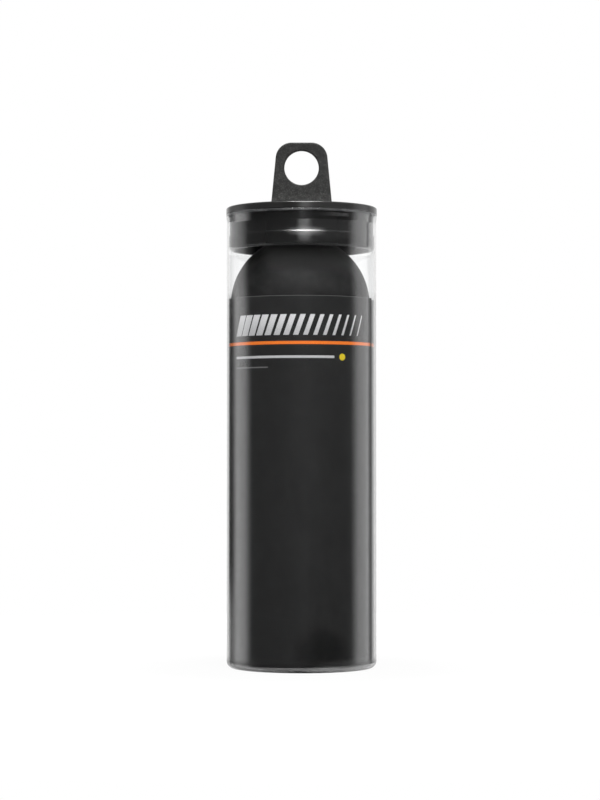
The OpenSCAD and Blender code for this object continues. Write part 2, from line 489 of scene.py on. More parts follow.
@dataclass(frozen=True)
class PrintedFilm:
    """Printed front of the label: satin black ink, an orange line, and plain grey marks."""

    radius: float
    top: float
    name: str = "film_print"
    black: Colour = (0.0163, 0.0163, 0.0165)
    black_mottled: Colour = (0.019, 0.019, 0.0193)
    mottle: Grain = Grain(260, 5, span=(0.35, 0.7))
    dark_patch_place: Point = (6.0 * MM, 4.6 * MM)
    dark_patch_fade: Point = (8.1 * MM, 13.5 * MM)
    dark_patch_edge: Grain = Grain(150, start=5)
    dark_patch_edge_depth: float = 8.1 * MM
    dark_patch_share: float = 0.9
    dark_patch_colour: Colour = (0.0035, 0.0035, 0.0035)
    worn_ink: Grain = Grain(2400, start=2, span=(0.2, 0.75))
    worn_share: float = 0.93
    silver_low: Colour = (0.56, 0.56, 0.57)
    silver_high: Colour = (0.78, 0.78, 0.79)
    bars_z: Point = (94.5 * MM, 100.3 * MM)
    bars_across: Point = (-22.0 * MM, 20.0 * MM)
    bars: int = 15
    bar_slant: float = 0.36
    widest_bar_share: float = 0.9
    narrowest_bar_share: float = 0.16
    rule: Rule = Rule(88.4 * MM, 0.7 * MM, (-22.0 * MM, 9.4 * MM))
    short_rule: Rule = Rule(85.5 * MM, 0.35 * MM, (-22.0 * MM, -9.7 * MM))
    short_rule_grey: Colour = (0.16, 0.16, 0.16)
    line: Rule = Rule(92.35 * MM, 0.9 * MM)
    orange: Colour = (1.0, 0.215, 0.016)
    dot_place: Point = (11.95 * MM, 88.4 * MM)
    dot_r: float = 0.97 * MM
    yellow: Colour = (0.78, 0.6, 0.012)
    cut_edge: Colour = (0.16, 0.16, 0.16)
    cut_edge_drop: Point = (0.16 * MM, 0.064 * MM)
    grain: Grain = Grain(1400, drawn=0.2, start=4)
    roughness: Point = (0.34, 0.46)
    relief: Point = (0.006 * MM, 0.35)
    specular: float = 0.4

    def fading_bars(self, bench: MaterialBench, across: Socket, z: Socket) -> Socket:
        """Draw slanted bars that thin out to the right.

        Args:
            bench: the material being mixed.
            across: distance round the film from the front.
            z: height.

        Returns:
            A socket that is 1 on a bar.
        """
        left, right = self.bars_across
        pitch = (right - left) / self.bars
        lean = bench.times(bench.calc("SUBTRACT", z, self.bars_z[0]), self.bar_slant)
        run = bench.calc("SUBTRACT", bench.calc("SUBTRACT", across, lean), left)
        cell = bench.calc("DIVIDE", run, pitch)
        number = bench.calc("FLOOR", cell)
        thinning = (self.narrowest_bar_share - self.widest_bar_share) / (self.bars - 1)
        width = bench.calc("MULTIPLY_ADD", number, thinning, self.widest_bar_share)
        inked = bench.calc("LESS_THAN", bench.calc("FRACT", cell), width)
        return bench.times(inked, bench.within(number, -0.5, self.bars - 0.5), bench.within(z, *self.bars_z))

    def mix(self) -> Material:
        """Mix the ink's ground, print the marks on it, and pale the film's upper edge, partly as bared film
        and partly as a painted highlight along it.

        Returns:
            The material.
        """
        bench = MaterialBench(self.name)
        angle, z = bench.around()
        across = bench.times(angle, self.radius)
        colour = bench.blend_colour(bench.pattern(self.mottle), self.black, self.black_mottled)
        # A darker patch with a wavy edge, low on the front of the film.
        wavy = bench.calc("MULTIPLY_ADD", bench.noise(self.dark_patch_edge), self.dark_patch_edge_depth,
                          bench.reach(across, z, self.dark_patch_place))
        dark_patch = bench.times(bench.fade(wavy, *self.dark_patch_fade, 1, 0), self.dark_patch_share)
        colour = bench.blend_colour(dark_patch, colour, self.dark_patch_colour)
        worn = bench.pattern(self.worn_ink, self.worn_share, 1.0)
        silver = bench.blend_colour(bench.fade(z, *self.bars_z), self.silver_low, self.silver_high)
        marks = (
            (self.fading_bars(bench, across, z), silver),
            (self.rule.shape(bench, across, z), self.silver_low),
            (self.short_rule.shape(bench, across, z), self.short_rule_grey),
            (self.line.shape(bench, across, z), self.orange),
            (bench.calc("LESS_THAN", bench.reach(across, z, self.dot_place), self.dot_r), self.yellow),
        )
        for mark, ink in marks:
            colour = bench.blend_colour(bench.times(mark, worn), colour, ink)
        # The pale strip along the top edge is partly bared film and partly a painted highlight.
        edge = bench.fade(z, *(self.top - drop for drop in self.cut_edge_drop))
        colour = bench.blend_colour(edge, colour, self.cut_edge)
        grain = bench.noise(self.grain)
        return bench.coat(
            Base_Color=colour, Specular_IOR_Level=self.specular,
            Roughness=bench.fade(grain, *ROUGH_SPAN, *self.roughness),
            Normal=bench.relief(grain, *self.relief),
        )


@dataclass(frozen=True)
class MouldedBlack:
    """Black moulding: fine sparked grain on the tab and flange, a smoother plug skirt, and painted shade that
    darkens the tab above its foot and more towards its top.
    """

    name: str = "moulded_black"
    colour: Colour = (0.0285, 0.0285, 0.0275)
    speck: Colour = (0.11, 0.11, 0.105)
    flange_colour: Colour = (0.0155, 0.0155, 0.0152)
    skirt_colour: Colour = (0.0145, 0.0145, 0.0145)
    flange_z: Point = (129.7 * MM, 130.0 * MM)
    grain_z: Point = (131.6 * MM, 132.4 * MM)
    tab_shade_above_foot: Ramp = (134.4 * MM, 137.4 * MM, 0, 0.34)
    tab_shade_near_top: Ramp = (143 * MM, 150 * MM, 0, 0.26)
    mottle: Grain = Grain(820, 4, start=3, span=(0.34, 0.66))
    mottle_fade: float = 0.4
    grain: Grain = Grain(3600, 4, span=(0.48, 0.72))
    coarse: Grain = Grain(1500, start=6)
    grain_shares: Point = (0.06, 0.5)
    relief: Point = (0.045 * MM, 0.8)
    roughness: Point = (0.2, 0.55)
    smear: Grain = Grain(90, 2, start=9, span=(0.3, 0.75))
    smear_roughness: Point = (-0.015, 0.02)
    specular: float = 0.5

    def mix(self) -> Material:
        """Mix the moulding, which goes from smooth to grained above the flange's face.

        Returns:
            The material.
        """
        bench = MaterialBench(self.name)
        z = bench.split(bench.place)[2]
        grained = bench.fade(z, *self.grain_z)
        grain = bench.noise(self.grain)
        colour = bench.blend_colour(bench.fade(z, *self.flange_z), self.skirt_colour, self.flange_colour)
        # Layers of colour: tab grain, specks and mottle, then painted shade that darkens the tab above its
        # foot and more towards its top.
        shades = (
            (grained, self.colour), (bench.times(bench.fade(grain, *self.grain.span), grained), self.speck),
            (bench.times(bench.pattern(self.mottle, 0, self.mottle_fade), grained), BLACK),
            (bench.fade(z, *self.tab_shade_above_foot), BLACK), (bench.fade(z, *self.tab_shade_near_top), BLACK),
        )
        for share, shade in shades:
            colour = bench.blend_colour(share, colour, shade)
        height = bench.times(bench.plus(grain, bench.noise(self.coarse)),
                             bench.fade(grained, 0, 1, *self.grain_shares))
        roughness = bench.plus(bench.fade(grained, 0, 1, *self.roughness),
                               bench.pattern(self.smear, *self.smear_roughness))
        return bench.coat(
            Base_Color=colour, Roughness=roughness,
            Specular_IOR_Level=self.specular, Normal=bench.relief(height, *self.relief),
        )


@dataclass(frozen=True)
class BallRubber:
    """Buffed matt rubber: fine pebble, a pale bloom, and one small dot on one side."""

    name: str
    dot_place: Spot
    colour: Colour = (0.009, 0.009, 0.0093)
    bloom: Colour = (0.0165, 0.0165, 0.0165)
    dot: Colour = (0.72, 0.56, 0.02)
    dot_edge: Point = (1.85 * MM, 1.95 * MM)
    pips: float = 2600
    pip_span: Point = (0.1, 0.7)
    pip_relief: Point = (0.03 * MM, 0.5)
    dust: Grain = Grain(420, 6, start=1, span=(0.35, 0.75))
    dust_relief: Point = (0.02 * MM, 0.3)
    scuffs: Grain = Grain(160, 4, start=7, span=(0.45, 0.7))
    roughness: Point = (0.55, 0.69)
    specular: float = 0.14
    sheen: float = 0.09
    sheen_roughness: float = 0.3

    def mix(self) -> Material:
        """Mix the rubber, with its dust lying on its pebble.

        Returns:
            The material.
        """
        bench = MaterialBench(self.name)
        dust = bench.noise(self.dust)
        colour = bench.blend_colour(bench.fade(dust, *self.dust.span), self.colour, self.bloom)
        dot = bench.fade(bench.near(self.dot_place), *self.dot_edge, 1, 0)
        pebble = bench.relief(bench.fade(bench.pips(self.pips), *self.pip_span, 1, 0), *self.pip_relief)
        return bench.coat(
            Base_Color=bench.blend_colour(dot, colour, self.dot),
            Roughness=bench.fade(bench.pattern(self.scuffs), 0, 1, *self.roughness),
            Specular_IOR_Level=self.specular, Sheen_Weight=self.sheen, Sheen_Roughness=self.sheen_roughness,
            Normal=bench.relief(dust, *self.dust_relief, pebble),
        )


@dataclass(frozen=True)
class StudioFloor:
    """Pale floor that the camera sees as white, apart from the shadow that lies on it."""

    name: str = "studio_floor"
    colour: Colour = (0.2, 0.2, 0.2)
    paler: Colour = (0.206, 0.206, 0.206)
    paper: Grain = Grain(900)
    white_share: float = 0.86
    white_light: float = 1.1
    shadow_reach: Point = (30 * MM, 120 * MM)

    def mix(self) -> Material:
        """Mix the floor, whiter to the camera the farther it is from the tube.

        Returns:
            The material.
        """
        bench = MaterialBench(self.name)
        x, y, _ = bench.split(bench.place)
        white_share = bench.fade(bench.reach(x, y), *self.shadow_reach, self.white_share, 1.0)
        pale = bench.blend_colour(bench.noise(self.paper), self.colour, self.paler)
        return bench.finish(bench.blend_shader(
            bench.times(bench.seen_as_backdrop(), white_share),
            bench.make("ShaderNodeBsdfDiffuse", Color=pale),
            bench.make("ShaderNodeEmission", Color=WHITE, Strength=self.white_light),
        ))


def quarter_points(middle: Point, radius: float, start: float, end: float, steps: int) -> list[Point]:
    """Points of an arc.

    Args:
        middle: centre of the arc.
        radius: its radius.
        start: first angle in degrees.
        end: last angle in degrees.
        steps: straight pieces in the arc.

    Returns:
        steps + 1 points.
    """
    angles = [math.radians(start + (end - start) * i / steps) for i in range(steps + 1)]
    return [(middle[0] + radius * math.cos(a), middle[1] + radius * math.sin(a)) for a in angles]


def eased_corners(corners: list[Spot], steps: int) -> list[Point]:
    """A run of straight lines with each corner rounded.

    Args:
        corners: x, y and rounding radius of each corner; a radius of 0 keeps it sharp.
        steps: straight pieces in a rounded corner.

    Returns:
        The points of the run.
    """
    points: list[Point] = []
    for i, (x, y, radius) in enumerate(corners):
        here = Vector((x, y))
        if radius <= 0 or i in (0, len(corners) - 1):
            points.append((x, y))
            continue
        back = (Vector(corners[i - 1][:2]) - here).normalized()
        ahead = (Vector(corners[i + 1][:2]) - here).normalized()
        half = back.angle(ahead) / 2
        reach = radius / math.tan(half)
        start, end = here + back * reach, here + ahead * reach
        middle = here + (back + ahead).normalized() * (radius / math.sin(half))
        first, last = start - middle, end - middle
        turn = first.angle_signed(last)
        for step in range(steps + 1):
            angle = -turn * step / steps
            c, s = math.cos(angle), math.sin(angle)
            points.append((middle.x + first.x * c - first.y * s, middle.y + first.x * s + first.y * c))
    return points


def straight(start: Point, end: Point, pieces: int) -> list[Point]:
    """Points between two ends, without the ends themselves."""
    return [(start[0] + (end[0] - start[0]) * i / pieces, start[1] + (end[1] - start[1]) * i / pieces)
            for i in range(1, pieces)]


def braced(profile: list[Point]) -> list[Point]:
    """Put a point close to each end of the profile's long straight runs, to shade them flat.

    Args:
        profile: points of the profile.

    Returns:
        The profile with the new points.
    """
    points = [profile[0]]
    for start, end in zip(profile, profile[1:]):
        length = math.dist(start, end)
        if length > LONG_RUN:
            for share in (BRACE / length, 1 - BRACE / length):
                points.append(tuple(a + (b - a) * share for a, b in zip(start, end)))
        points.append(end)
    return points


def closed_mesh(name: str, vertices: list[Spot], faces: list[tuple[int, ...]]
                ) -> Mesh:
    """Make a closed mesh whose faces point outwards.

    Args:
        name: name of the mesh.
        vertices: its corners.
        faces: its faces, all turned the same way.

    Returns:
        The mesh, smooth but for its sharp edges.
    """
    mesh = bpy.data.meshes.new(name)
    mesh.from_pydata(vertices, [], faces)
    work = bmesh.new()
    work.from_mesh(mesh)
    bmesh.ops.remove_doubles(work, verts=work.verts, dist=WELD)
    if work.calc_volume(signed=True) < 0:
        bmesh.ops.reverse_faces(work, faces=work.faces)
    work.to_mesh(mesh)
    work.free()
    smooth(mesh)
    return mesh


def smooth(mesh: Mesh) -> None:
    """Shade the mesh smooth, apart from its sharp edges."""
    mesh.shade_smooth()
    mesh.set_sharp_from_angle(angle=SHARP_EDGE)


def turned_mesh(name: str, profile: list[Point], segments: int, middle: Point = (0.0, 0.0),
                closed: bool = False) -> Mesh:
    """Turn a profile about an upright axis.

    Args:
        name: name of the mesh.
        profile: radius and height of each point.
        segments: straight pieces in a whole turn.
        middle: x and y of the axis.
        closed: True where the last point joins the first, as in a ring.

    Returns:
        The closed mesh.
    """
    vertices: list[Spot] = []
    rings: list[list[int]] = []
    for radius, z in profile:
        if radius < WELD:
            rings.append([len(vertices)] * segments)
            vertices.append((middle[0], middle[1], z))
            continue
        first = len(vertices)
        rings.append(list(range(first, first + segments)))
        for i in range(segments):
            a = WHOLE_TURN * i / segments
            vertices.append((middle[0] + radius * math.sin(a), middle[1] - radius * math.cos(a), z))
    faces: list[tuple[int, ...]] = []
    for low, high in zip(rings, rings[1:] + (rings[:1] if closed else [])):
        for i in range(segments):
            j = (i + 1) % segments
            corners = dict.fromkeys((low[i], low[j], high[j], high[i]))
            if len(corners) > 2:
                faces.append(tuple(corners))
    return closed_mesh(name, vertices, faces)


def ring_faces(rings: int, size: int, closed: bool) -> list[tuple[int, ...]]:
    """Faces between neighbouring rings of points.

    Args:
        rings: how many rings there are.
        size: points in a ring.
        closed: True where the last ring joins the first.

    Returns:
        The corners of each face.
    """
    return [(i * size + j, i * size + (j + 1) % size,
             (i + 1) % rings * size + (j + 1) % size, (i + 1) % rings * size + j)
            for i in range(rings if closed else rings - 1) for j in range(size)]


def piece(name: str, mesh: Mesh, *finishes: Material) -> Thing:
    """Put a mesh in the scene as a named piece.

    Args:
        name: name of the piece.
        mesh: its mesh, in place.
        finishes: its materials, or none where the mesh has them.

    Returns:
        The new object, at the origin.
    """
    thing = bpy.data.objects.new(name, mesh)
    bpy.context.scene.collection.objects.link(thing)
    for finish in finishes:
        mesh.materials.append(finish)
    return thing


def plain_copy(blank: Thing, name: str) -> Mesh:
    """Turn an object with modifiers into a plain smooth mesh, and take the object away.

    Args:
        blank: the object.
        name: name for the mesh.

    Returns:
        The mesh.
    """
    mesh = bpy.data.meshes.new_from_object(blank.evaluated_get(bpy.context.evaluated_depsgraph_get()))
    bpy.data.objects.remove(blank)
    mesh.name = name
    smooth(mesh)
    return mesh


def finish_above(thing: Thing, z: float) -> None:
    """Give the faces whose middle is above z the second finish, and the others the first."""
    for face in thing.data.polygons:
        face.material_index = int(face.center.z > z)


def report(thing: Thing) -> None:
    """Log the piece's name and how many triangles it has."""
    thing.data.calc_loop_triangles()
    log.info("%s: %d triangles", thing.name, len(thing.data.loop_triangles))


@dataclass
class ClearTube:
    """Thin clear tube with a pushed-up floor, a foot ring and a spread mouth."""

    bore_r: float = 21.0 * MM
    outer_r: float = 21.5 * MM
    height: float = 130.0 * MM
    floor_t: float = 0.8 * MM
    base_corner_r: float = 2.0 * MM
    inner_corner_r: float = 0.8 * MM
    foot_outer_r: float = 19.5 * MM
    foot_inner_r: float = 17.5 * MM
    punt_r: float = 9.0 * MM
    punt_rise: float = 2.6 * MM
    lip_flare: float = 0.235 * MM
    lip_h: float = 3.0 * MM
    lip_r: float = 0.15 * MM
    rim_h: float = 0.62 * MM
    segments: int = 224
    base_steps: int = 14
    punt_steps: int = 18
    spread_steps: int = 6
    lip_steps: int = 6
    inner_steps: int = 8

    def punt(self, start: float, end: float, lift: float) -> list[Point]:
        """Points down or up the slope of the floor.

        Args:
            start: first radius.
            end: last radius.
            lift: height above the underside.

        Returns:
            Radius and height of each point.
        """
        points = []
        for i in range(self.punt_steps + 1):
            r = start + (end - start) * i / self.punt_steps
            share = (r - self.punt_r) / (self.foot_inner_r - self.punt_r)
            points.append((r, self.punt_rise * (1 + math.cos(math.pi * share)) / 2 + lift))
        return points

    def spread(self, r: float, upwards: bool) -> list[Point]:
        """The gentle spread of the mouth, between the straight wall and the rim.

        Args:
            r: radius of the straight wall.
            upwards: True to go up towards the rim.

        Returns:
            Radius and height of each point, without the rim's own.
        """
        foot, rim = self.height - self.lip_h, self.height - self.lip_r
        points = []
        for i in range(self.spread_steps):
            share = i / self.spread_steps
            points.append((r + self.lip_flare * share * share * (3 - 2 * share), foot + (rim - foot) * share))
        return points if upwards else points[::-1]

    def profile(self) -> list[Point]:
        """Go round the whole wall, from the underside's middle to the floor's.

        Returns:
            Radius and height of each point.
        """
        rim_z = self.height - self.lip_r
        corner = self.floor_t + self.inner_corner_r
        return [
            (0, self.punt_rise), (0.5 * self.punt_r, self.punt_rise),
            *self.punt(self.punt_r, self.foot_inner_r, 0),
            *quarter_points((self.foot_outer_r, self.base_corner_r), self.base_corner_r, -90, 0,
                            self.base_steps),
            *self.spread(self.outer_r, True),
            *quarter_points((self.outer_r + self.lip_flare - self.lip_r, rim_z), self.lip_r, 0, 90,
                            self.lip_steps),
            *quarter_points((self.bore_r + self.lip_flare + self.lip_r, rim_z), self.lip_r, 90, 180,
                            self.lip_steps),
            *self.spread(self.bore_r, False),
            *quarter_points((self.bore_r - self.inner_corner_r, corner), self.inner_corner_r, 0, -90,
                            self.inner_steps),
            *self.punt(self.foot_inner_r, self.punt_r, self.floor_t),
            (0.5 * self.punt_r, self.punt_rise + self.floor_t), (0, self.punt_rise + self.floor_t),
        ]

    def build(self) -> Thing:
        """Make the tube and put it in its node's place.

        Returns:
            The piece.
        """
        mesh = turned_mesh("clear_tube", braced(self.profile()), self.segments)
        thing = piece("clear_tube", mesh, ClearPlastic().mix(), CutRim().mix())
        finish_above(thing, self.height - self.rim_h)
        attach(thing, "tube_body")
        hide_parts("tube")
        return thing


@dataclass
class RolledLabel:
    """Printed film, rolled once round inside the tube and tucked under its own edge."""

    outer_r: float = 20.95 * MM
    film_t: float = 0.15 * MM
    overlap_step: float = 0.2 * MM
    edge_angle: float = math.radians(69.5)
    overlap_angle: float = math.radians(25)
    step_angle: float = math.radians(30)
    bottom: float = 1.6 * MM
    top: float = 105.6 * MM
    end_drop: float = 0.45 * MM
    cut_edge_angle: float = math.radians(3.1)
    columns: int = 258
    rows: int = 28

    def inputs(self) -> Inputs:
        """Name the roll's inputs.

        Returns:
            The value of each: a size, a count or a finish.
        """
        return {
            "Outer radius": self.outer_r, "Overlap step": self.overlap_step, "Edge angle": self.edge_angle,
            "Overlap angle": self.overlap_angle, "Step angle": self.step_angle, "Thickness": self.film_t,
            "Bottom": self.bottom, "Top": self.top, "End drop": self.end_drop,
            "Cut edge angle": self.cut_edge_angle, "Columns": self.columns, "Rows": self.rows,
            "Print finish": PrintedFilm(self.outer_r, self.top).mix(), "Plain finish": PlainFilm().mix(),
            "Free edge shadow finish": FreeEdgeShadow().mix(),
        }

    def rolled(self, bench: NodeBench, given: bpy.types.NodeOutputs) -> Socket:
        """Roll a flat grid into the film's outer face, and tag the strip along its free edge.

        Args:
            bench: the roll's tree.
            given: the named inputs.

        Returns:
            The face's geometry.
        """
        grid = bench.make("GeometryNodeMeshGrid", Size_X=1.0, Size_Y=1.0, Vertices_X=given["Columns"],
                          Vertices_Y=given["Rows"])
        u, v, _ = bench.split(bench.make("GeometryNodeInputPosition"))
        roll = bench.times(bench.plus(u, 0.5), bench.plus(given["Overlap angle"], WHOLE_TURN))
        tuck = bench.fade(roll, bench.calc("SUBTRACT", WHOLE_TURN, given["Step angle"]), WHOLE_TURN)
        radius = bench.calc("SUBTRACT", given["Outer radius"], bench.times(tuck, given["Overlap step"]))
        azimuth = bench.calc("SUBTRACT", given["Edge angle"], roll)
        top = bench.calc("SUBTRACT", given["Top"], bench.times(tuck, given["End drop"]))
        rise = bench.times(bench.plus(v, 0.5), bench.calc("SUBTRACT", top, given["Bottom"]))
        place = bench.make(
            "ShaderNodeCombineXYZ", X=bench.times(radius, bench.calc("SINE", azimuth)),
            Y=bench.times(radius, bench.times(bench.calc("COSINE", azimuth), -1.0)),
            Z=bench.plus(given["Bottom"], rise),
        )
        # Faces along the free edge, which get the painted shadow.
        near_edge = bench.calc("LESS_THAN", roll, given["Cut edge angle"])
        return bench.make("GeometryNodeSetPosition", Geometry=bench.tag_faces(grid, "cut_edge", near_edge),
                          Position=place)

    def roll_tree(self, values: Inputs) -> tuple[bpy.types.NodeTree, dict[str, str]]:
        """Build the node tree that makes the film.

        Args:
            values: the named inputs.

        Returns:
            The tree, and the identifier of each of its named inputs.
        """
        tree = bpy.data.node_groups.new("roll_film", "GeometryNodeTree")
        bench = NodeBench(tree)
        tree.interface.new_socket(name="Film", in_out="OUTPUT", socket_type="NodeSocketGeometry")
        kinds = {float: "NodeSocketFloat", int: "NodeSocketInt", Material: "NodeSocketMaterial"}
        keys = {}
        for name, value in values.items():
            socket = tree.interface.new_socket(name=name, in_out="INPUT", socket_type=kinds[type(value)])
            keys[name] = socket.identifier
        given = bench.add("NodeGroupInput").outputs
        skin = self.rolled(bench, given)
        depth = bench.fill(bench.add("GeometryNodeExtrudeMesh", mode="FACES"), Mesh=skin,
                           Offset_Scale=given["Thickness"], Individual=False)
        front = bench.tag_faces(bench.make("GeometryNodeFlipFaces", Mesh=skin), "printed", True)
        joined = bench.add("GeometryNodeJoinGeometry")
        for part in (depth.outputs["Mesh"], front):
            bench.feed(joined.inputs[0], part)
        film = bench.make("GeometryNodeMergeByDistance", Geometry=joined.outputs[0], Distance=WELD)
        film = bench.make("GeometryNodeRealizeInstances", Geometry=film)
        film = bench.make("GeometryNodeSetMaterial", Geometry=film, Material=given["Plain finish"])
        for tag, finish in (("printed", "Print finish"), ("cut_edge", "Free edge shadow finish")):
            chosen = bench.fill(bench.add("GeometryNodeInputNamedAttribute", data_type="BOOLEAN"), Name=tag)
            film = bench.make("GeometryNodeSetMaterial", Geometry=film, Selection=chosen.outputs["Attribute"],
                              Material=given[finish])
        bench.feed(bench.add("NodeGroupOutput").inputs[0], film)
        return tree, keys

    def build(self) -> Thing:
        """Roll the film, turn it into a plain mesh and put it in its node's place.

        Returns:
            The piece.
        """
        values = self.inputs()
        tree, keys = self.roll_tree(values)
        blank = piece("film_blank", bpy.data.meshes.new("film_blank"))
        modifier = blank.modifiers.new("roll", "NODES")
        modifier.node_group = tree
        for name, value in values.items():
            modifier[keys[name]] = value
        thing = piece("rolled_label", plain_copy(blank, "rolled_label"))
        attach(thing, "tube_body")
        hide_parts("label")
        return thing


@dataclass
class PlugCap:
    """Moulded plug with its flange, stepped skirt and upright hang tab."""

    mouth_z: float = 130.0 * MM
    flange_r: float = 21.7 * MM
    flange_t: float = 2.0 * MM
    flange_edge_r: float = 0.5 * MM
    flange_lower_r: float = 0.2 * MM
    skirt_r: float = 20.65 * MM
    band_r: float = 20.95 * MM
    skirt_bore_r: float = 19.3 * MM
    skirt_h: float = 6.0 * MM
    plug_h: float = 10.3 * MM
    shoulder_h: float = 0.45 * MM
    lead_in: float = 0.6 * MM
    edge_r: float = 0.12 * MM
    root_r: float = 0.4 * MM
    tab_h: float = 19.0 * MM
    tab_base_w: float = 17.8 * MM
    tab_top_w: float = 14.1 * MM
    tab_t: float = 2.0 * MM
    tab_corner_r: float = 4.6 * MM
    tab_root_r: float = 0.8 * MM
    root_inset: float = 0.03 * MM
    root_rows: int = 8
    root_top_share: float = 1.35
    tab_edge_r: float = 0.42 * MM
    tab_depth: float = 0.5 * MM
    hole_r: float = 4.95 * MM
    hole_drop: float = 7.3 * MM
    hole_edge_r: float = 0.35 * MM
    segments: int = 224
    tab_start: float = 0.02 * MM
    tab_colour: Colour = (0.048, 0.048, 0.0465)
    tab_specular: float = 0.25
    corner_steps: int = 7
    around_tab: int = 180
    side_steps: int = 200
    top_steps: int = 60
    edge_steps: int = 4
    face_rows: int = 7
    brace_share: float = 0.02

    @property
    def tab_z(self) -> float:
        """Height of the flange's top, which the tab stands on."""
        return self.mouth_z + self.flange_t

    @property
    def tab_slope(self) -> float:
        """Half the width that the tab loses, by its height."""
        return (self.tab_base_w - self.tab_top_w) / 2 / self.tab_h

    def plug_mesh(self) -> Mesh:
        """Turn the flange and the stepped hollow skirt.

        Returns:
            The closed mesh.
        """
        mouth, foot = self.mouth_z, self.mouth_z - self.plug_h
        corners = [
            (0, mouth, 0), (self.skirt_bore_r, mouth, self.root_r), (self.skirt_bore_r, foot, self.edge_r),
            (self.band_r - self.lead_in, foot, self.edge_r), (self.band_r, foot + self.lead_in, self.edge_r),
            (self.band_r, mouth - self.skirt_h - self.shoulder_h, self.edge_r),
            (self.skirt_r, mouth - self.skirt_h, self.edge_r), (self.skirt_r, mouth, 0.5 * self.edge_r),
            (self.flange_r, mouth, self.flange_lower_r),
            (self.flange_r, mouth + self.flange_t, self.flange_edge_r), (0, mouth + self.flange_t, 0),
        ]
        return turned_mesh("plug", braced(eased_corners(corners, self.corner_steps)), self.segments)

    def tab_side(self, height: float) -> float:
        """Half the width of the tab's straight side at a height above the flange."""
        return self.tab_base_w / 2 - self.tab_slope * height

    def tab_outline(self) -> list[Point]:
        """Draw the front outline of the tab as many close points.

        Returns:
            The points, with heights from the flange's top.
        """
        lean = math.atan(self.tab_slope)
        corner = (self.tab_top_w / 2 + self.tab_corner_r * (self.tab_slope - 1 / math.cos(lean)),
                  self.tab_h - self.tab_corner_r)
        arc = quarter_points(corner, self.tab_corner_r, math.degrees(lean), 90, self.top_steps)
        foot = (self.tab_side(-self.tab_depth), -self.tab_depth)
        right = [foot, *straight(foot, arc[0], self.side_steps), *arc]
        left = [(-x, y) for x, y in reversed(right)]
        return (right + straight(right[-1], left[0], self.top_steps) + left
                + straight(left[-1], right[0], self.side_steps))

    def tab_rays(self, middle: Vector) -> list[tuple[float, Vector]]:
        """Find where evenly turned rays from the hole's middle leave the tab.

        Args:
            middle: middle of the hole.

        Returns:
            The angle of each ray and its point of the outline.
        """
        polar = sorted((math.atan2(y - middle.y, x), x, y) for x, y in self.tab_outline())
        rays = []
        for i in range(self.around_tab):
            angle = -math.pi + WHOLE_TURN * (i + 0.5) / self.around_tab
            after = next((k for k, p in enumerate(polar) if p[0] >= angle), 0)
            (a0, *start), (a1, *end) = polar[after - 1], polar[after]
            share = ((angle - a0) % WHOLE_TURN) / ((a1 - a0) % WHOLE_TURN)
            rays.append((angle, Vector(start).lerp(Vector(end), share)))
        return rays

    def tab_mesh(self) -> Mesh:
        """Build the plate of the tab, as a loop of sections round its hole.

        Returns:
            The closed mesh.
        """
        middle = Vector((0, self.tab_h - self.hole_drop))
        rays = self.tab_rays(middle)
        vertices: list[Spot] = []
        for i, (angle, rim) in enumerate(rays):
            along = (rays[(i + 1) % len(rays)][1] - rays[i - 1][1]).normalized()
            inwards = Vector((-along.y, along.x))
            if inwards.dot(middle - rim) < 0:
                inwards.negate()
            vertices += self.tab_section(rim, inwards, middle, Vector((math.cos(angle), math.sin(angle))))
        return closed_mesh("tab", vertices, ring_faces(len(rays), len(vertices) // len(rays), True))

    def tab_section(self, rim: Vector, inwards: Vector, middle: Vector, out: Vector) -> list[Spot]:
        """Draw one section through the plate, from its outside to its hole and back.

        Args:
            rim: point of the outline, seen from the front.
            inwards: direction from the rim into the plate.
            middle: middle of the hole.
            out: direction from the middle towards the rim.

        Returns:
            Corners of the section, in order.
        """
        half = self.tab_t / 2
        bends = [math.pi / 2 * step / self.edge_steps for step in range(self.edge_steps + 1)]
        front = [(rim + inwards * self.tab_edge_r * (1 - math.cos(a)),
                  half - self.tab_edge_r * (1 - math.sin(a))) for a in bends]
        start, end = front[-1][0], middle + out * (self.hole_r + self.hole_edge_r)
        shares = [self.brace_share, *(k / self.face_rows for k in range(1, self.face_rows)),
                  1 - self.brace_share]
        front += [(start.lerp(end, share), half) for share in shares]
        front += [(middle + out * (self.hole_r + self.hole_edge_r * (1 - math.sin(a))),
                   half - self.hole_edge_r * (1 - math.cos(a))) for a in bends]
        return ([(spot.x, -y, spot.y + self.tab_z) for spot, y in front]
                + [(spot.x, y, spot.y + self.tab_z) for spot, y in reversed(front)])

    def root_mesh(self) -> Mesh:
        """Build the block at the foot of the tab that flares into the flange, front and back.

        Returns:
            The closed mesh.
        """
        flared = [self.tab_root_r * i / self.root_rows for i in range(self.root_rows + 1)]
        heights = [-self.tab_depth, *flared, self.root_top_share * self.tab_root_r]
        vertices: list[Spot] = []
        for h in heights:
            dip = max(0.0, self.tab_root_r - max(h, 0.0))
            flare = self.tab_root_r - math.sqrt(max(self.tab_root_r ** 2 - dip ** 2, 0.0))
            tuck = self.root_inset if h > self.tab_root_r else 0.0
            half_w, half_t = self.tab_side(h) - self.root_inset, self.tab_t / 2 + flare - tuck
            for sx, sy, start in ((1, 1, 0), (-1, 1, 90), (-1, -1, 180), (1, -1, 270)):
                middle = (sx * (half_w - self.tab_edge_r), sy * (half_t - self.tab_edge_r))
                corner = quarter_points(middle, self.tab_edge_r, start, start + 90, self.edge_steps)
                vertices += [(x, y, h + self.tab_z) for x, y in corner]
        size = 4 * (self.edge_steps + 1)
        ends = [tuple(reversed(range(size))), tuple(range(len(vertices) - size, len(vertices)))]
        return closed_mesh("tab_root", vertices, ring_faces(len(heights), size, False) + ends)

